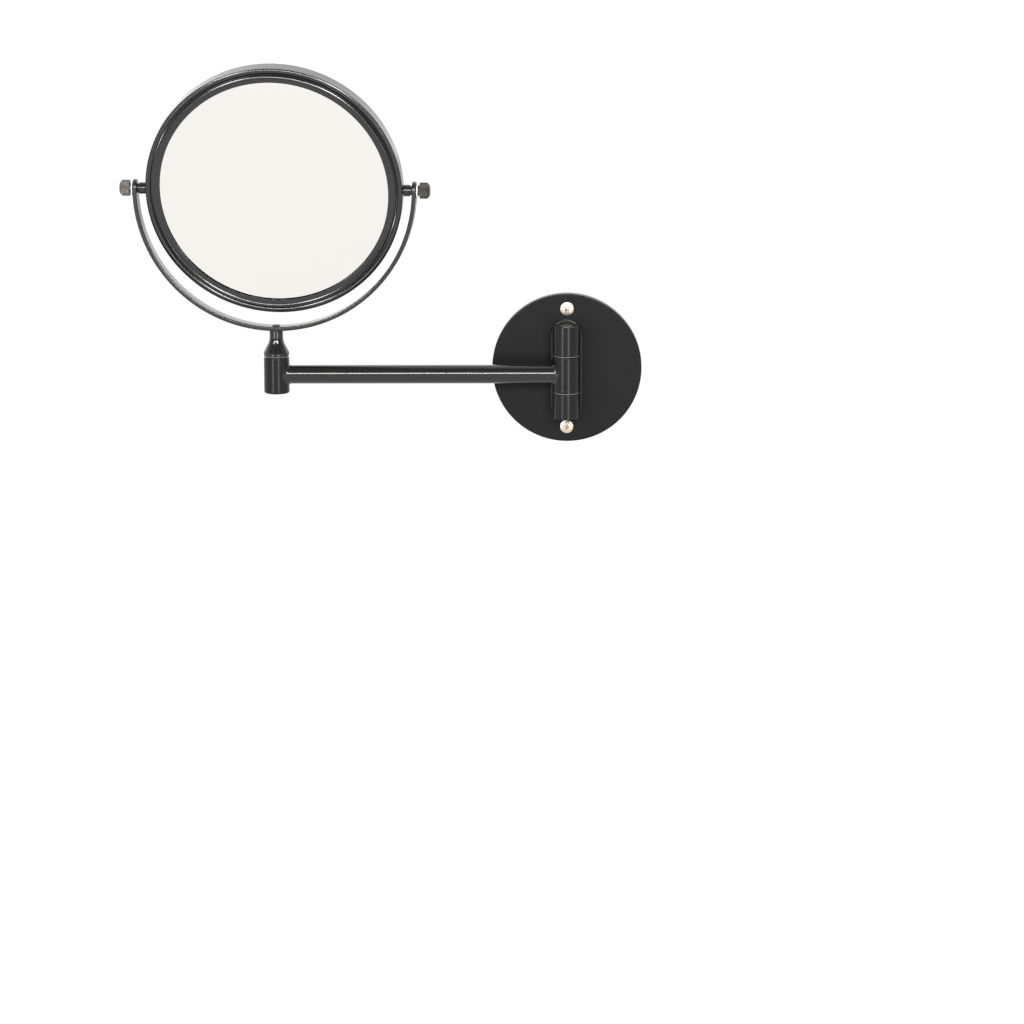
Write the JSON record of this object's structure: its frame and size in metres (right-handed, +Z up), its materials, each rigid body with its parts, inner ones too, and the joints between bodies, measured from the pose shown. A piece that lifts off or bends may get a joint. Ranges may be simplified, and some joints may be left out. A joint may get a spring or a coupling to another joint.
{
  "type": "wall-mounted shaving mirror",
  "caption": "Round two-sided shaving mirror in a half-ring yoke on a swinging wall arm, black metal, with tilt and swivel.",
  "frame": {"origin": "centre of the wall plate's back face", "axes": "+Z up, +Y into the wall, +X to the viewer's right; the arm points along -X, two degrees off the wall"},
  "size_m": [0.3459, 0.0548, 0.2568],
  "materials": {
    "black_powder_coat": "satin black powder coat",
    "knob_black": "worn satin black",
    "nickel_screw": "warm nickel plate",
    "zinc_steel": "zinc plate",
    "black_screw": "black oxide",
    "white_nylon": "natural nylon",
    "grey_nylon": "smoke grey nylon",
    "plain_mirror": "silvered glass",
    "spacer_plastic": "moulded black",
    "foam": "soft grey foam"
  },
  "bodies": {
    "wall_mount": {"wall_plate": "black_powder_coat", "wall_bracket": "black_powder_coat", "bracket_screw_upper": "zinc_steel", "bracket_screw_lower": "zinc_steel", "wall_screw_upper": "nickel_screw", "wall_screw_lower": "nickel_screw", "hinge_pin": "zinc_steel", "hinge_spring_washer": "zinc_steel", "hinge_nut": "zinc_steel", "hinge_cap_upper": "black_powder_coat", "hinge_cap_lower": "black_powder_coat", "hinge_washer_upper": "grey_nylon", "hinge_washer_lower": "grey_nylon"},
    "arm": {"arm_knuckle": "black_powder_coat", "arm_bush_upper": "white_nylon", "arm_bush_lower": "white_nylon", "arm_tube": "black_powder_coat", "head_barrel": "black_powder_coat", "barrel_cap": "black_powder_coat"},
    "yoke": {"swivel_neck": "black_powder_coat", "swivel_washer": "grey_nylon", "swivel_spring_washer": "zinc_steel", "swivel_nut": "zinc_steel", "yoke": "black_powder_coat", "yoke_screw": "black_screw"},
    "mirror_head": {"frame_band": "black_powder_coat", "front_bezel": "black_powder_coat", "rear_bezel": "black_powder_coat", "front_mirror": "plain_mirror", "rear_mirror": "plain_mirror", "glass_spacer": "spacer_plastic", "backing_pad": "foam", "pivot_boss_left": "black_powder_coat", "pivot_boss_right": "black_powder_coat"},
    "knob_left": {"knob_left": "knob_black", "pivot_stud_left": "zinc_steel", "pivot_washer_left": "white_nylon"},
    "knob_right": {"knob_right": "knob_black", "pivot_stud_right": "zinc_steel", "pivot_washer_right": "white_nylon"}
  },
  "joints": [
    {"name": "arm_swing", "type": "hinge", "parent": "wall_mount", "child": "arm", "pos_m": [0, -0.0235, -0.0012], "axis": [0, 0, 1], "range_deg": [-2, 178]},
    {"name": "head_swivel", "type": "hinge", "parent": "arm", "child": "yoke", "pos_m": [-0.19268, -0.03023, -0.0012], "axis": [0, 0, 1], "continuous": true},
    {"name": "mirror_tilt", "type": "hinge", "parent": "yoke", "child": "mirror_head", "pos_m": [-0.19268, -0.03023, 0.1227], "axis": [0.999, -0.0436, 0], "continuous": true},
    {"name": "knob_left_turn", "type": "hinge", "parent": "mirror_head", "child": "knob_left", "pos_m": [-0.19268, -0.03023, 0.1227], "axis": [-0.999, 0.0436, 0], "range_deg": [0, 180]},
    {"name": "knob_right_turn", "type": "hinge", "parent": "mirror_head", "child": "knob_right", "pos_m": [-0.19268, -0.03023, 0.1227], "axis": [0.999, -0.0436, 0], "range_deg": [0, 180]}
  ]
}
